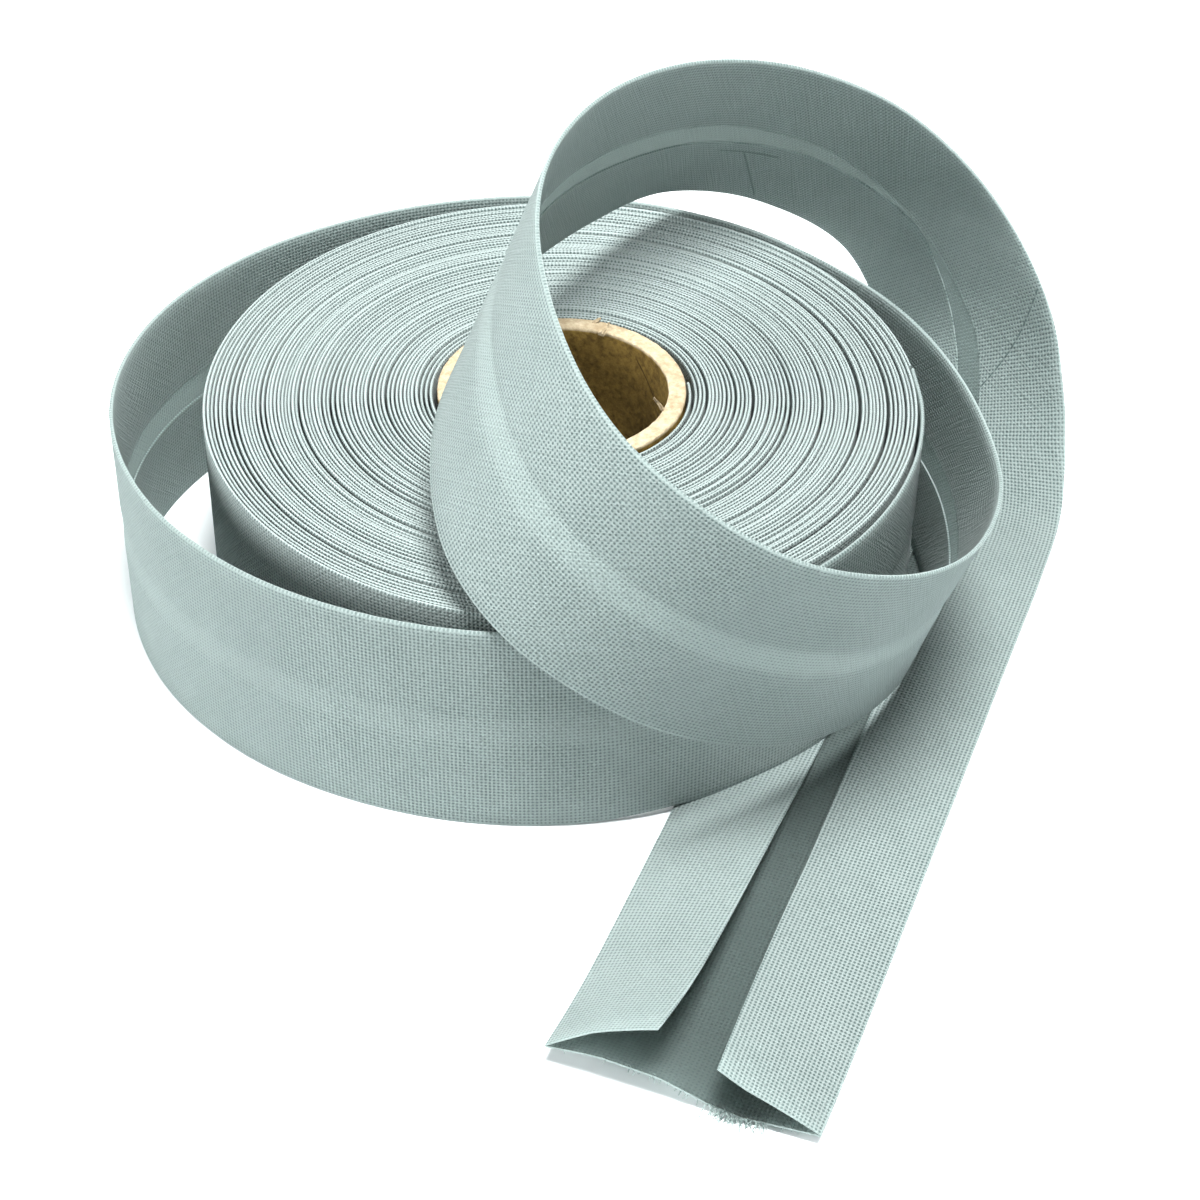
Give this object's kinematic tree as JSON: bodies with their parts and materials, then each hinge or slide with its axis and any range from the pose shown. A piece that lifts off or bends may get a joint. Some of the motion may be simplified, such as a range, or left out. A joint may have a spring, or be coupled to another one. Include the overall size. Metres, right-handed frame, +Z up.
{
  "type": "roll of bias binding",
  "caption": "Roll of folded bias binding tape on a card tube, standing on its edges, with its outer end let off in a loop and a flat open-ended tail.",
  "frame": {"origin": "centre of the object's box, on the table that the roll stands on", "axes": "+Z up along the roll's axis, -Y towards the tape's cut end"},
  "size_m": [0.1666, 0.1964, 0.0912],
  "materials": {
    "cloth": "matte",
    "wound_cloth": "matte",
    "card": "matte"
  },
  "bodies": {
    "root": {"card_tube": "card", "wound_roll": "wound_cloth", "loose_tape": "cloth"}
  },
  "joints": []
}
